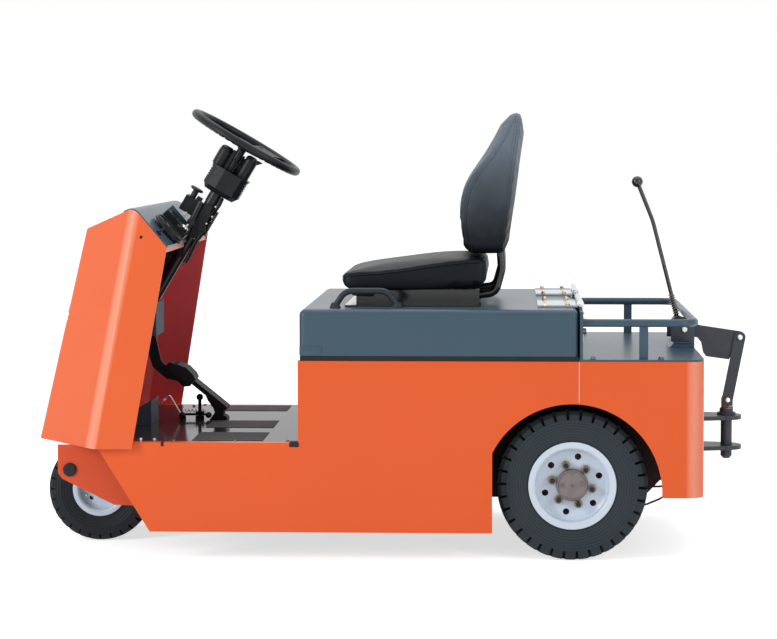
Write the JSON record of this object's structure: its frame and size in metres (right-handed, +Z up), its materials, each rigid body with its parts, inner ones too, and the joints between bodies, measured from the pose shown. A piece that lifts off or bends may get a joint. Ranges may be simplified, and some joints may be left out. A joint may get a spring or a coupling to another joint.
{
  "type": "airport baggage tug",
  "caption": "Sit-on electric tow tractor with sheet-metal cowl, step-through platform, seat on a hinged battery hood, steered twin front wheel and rear pin hitch.",
  "frame": {"origin": "on the ground below the middle of the outline", "axes": "+X to the rear, +Y to the vehicle's right, +Z up; the front is toward -X"},
  "size_m": [2.0176, 0.9, 1.2463],
  "materials": {
    "body_orange": "gloss paint",
    "slate": "gloss paint",
    "floor": "gloss paint",
    "chassis_black": "satin paint",
    "charcoal": "satin paint",
    "black_plastic": "grained",
    "wheel_grey": "gloss paint",
    "hub_iron": "machined",
    "tyre": "matt",
    "rubber": "matt",
    "zinc": "plated",
    "vinyl": "grained vinyl",
    "battery_case": "plain",
    "lamp": "clear"
  },
  "bodies": {
    "chassis": {"chassis_frame": "chassis_black", "steering_head": "chassis_black", "platform_bearers": "chassis_black", "axle_frame": "chassis_black", "side_panel_left": "body_orange", "side_panel_right": "body_orange", "rear_body": "body_orange", "floor_plate": "floor", "seat_box_front": "body_orange", "nose_plates": "body_orange", "cowl": "body_orange", "dash_panel": "slate", "dash_controls": "black_plastic", "steering_column": "charcoal", "switch_housing": "black_plastic", "column_cover": "slate", "brake_pedal": "charcoal", "accelerator_pedal": "charcoal", "deck_plate": "slate", "bulkhead": "slate", "hood_seal": "rubber", "hinge_plates": "zinc", "rear_rail": "slate", "lever_bracket": "slate", "hitch_tongue": "charcoal", "drive_axle": "chassis_black", "battery": "battery_case", "brake_cables": "rubber", "lamps": "lamp", "control_box": "black_plastic", "foot_cover": "slate", "nose_plugs": "rubber"},
    "steer_unit": {"steering_fork": "chassis_black"},
    "front_wheels": {"front_tyres": "tyre", "front_rims": "wheel_grey"},
    "rear_wheel_left": {"rear_tyre_left": "tyre", "rear_rim_left": "wheel_grey", "rear_hub_left": "hub_iron"},
    "rear_wheel_right": {"rear_tyre_right": "tyre", "rear_rim_right": "wheel_grey", "rear_hub_right": "hub_iron"},
    "steering_wheel_body": {"steering_wheel": "black_plastic"},
    "hood_body": {"hood": "slate", "hinge_leaves": "zinc", "grab_handle": "black_plastic", "seat_frame": "charcoal", "seat_cushion": "vinyl", "seat_backrest": "vinyl"},
    "lever": {"lever_arm": "charcoal", "lever_rod": "black_plastic"},
    "link": {"hitch_link": "charcoal"},
    "pin": {"hitch_pin": "charcoal"}
  },
  "joints": [
    {"name": "front_steer", "type": "hinge", "parent": "chassis", "child": "steer_unit", "pos_m": [-0.85785, 0, 0.316], "axis": [0, 0, 1], "range_deg": [-75, 75]},
    {"name": "front_wheels_spin", "type": "hinge", "parent": "steer_unit", "child": "front_wheels", "pos_m": [-0.85785, 0, 0.15], "axis": [0, 1, 0], "continuous": true},
    {"name": "rear_wheel_left_spin", "type": "hinge", "parent": "chassis", "child": "rear_wheel_left", "pos_m": [0.49615, -0.344, 0.2075], "axis": [0, 1, 0], "continuous": true},
    {"name": "rear_wheel_right_spin", "type": "hinge", "parent": "chassis", "child": "rear_wheel_right", "pos_m": [0.49615, 0.344, 0.2075], "axis": [0, 1, 0], "continuous": true},
    {"name": "steering_wheel_turn", "type": "hinge", "parent": "chassis", "child": "steering_wheel_body", "pos_m": [-0.44585, 0, 1.149], "axis": [0.509, 0, 0.8607], "range_deg": [-600, 600]},
    {"name": "hood_open", "type": "hinge", "parent": "chassis", "child": "hood_body", "pos_m": [0.51915, 0, 0.705], "axis": [0, 1, 0], "range_deg": [0, 50]},
    {"name": "hitch_lever_pull", "type": "hinge", "parent": "chassis", "child": "lever", "pos_m": [0.82665, 0, 0.611], "axis": [0, -1, 0], "range_deg": [0, 41.5]},
    {"name": "hitch_link_swing", "type": "hinge", "parent": "lever", "child": "link", "pos_m": [0.99285, 0, 0.584], "axis": [0, -1, 0], "range_deg": [-37, 0]},
    {"name": "hitch_pin_lift", "type": "slide", "parent": "chassis", "child": "pin", "axis": [0, 0, 1], "range_m": [0, 0.118]}
  ],
  "couplings": [
    {"joint": "steering_wheel_turn", "follows": "front_steer", "ratio": 8},
    {"joint": "hitch_link_swing", "follows": "hitch_lever_pull", "ratio": -0.87},
    {"joint": "hitch_pin_lift", "follows": "hitch_lever_pull", "m_per_rad": 0.16}
  ]
}
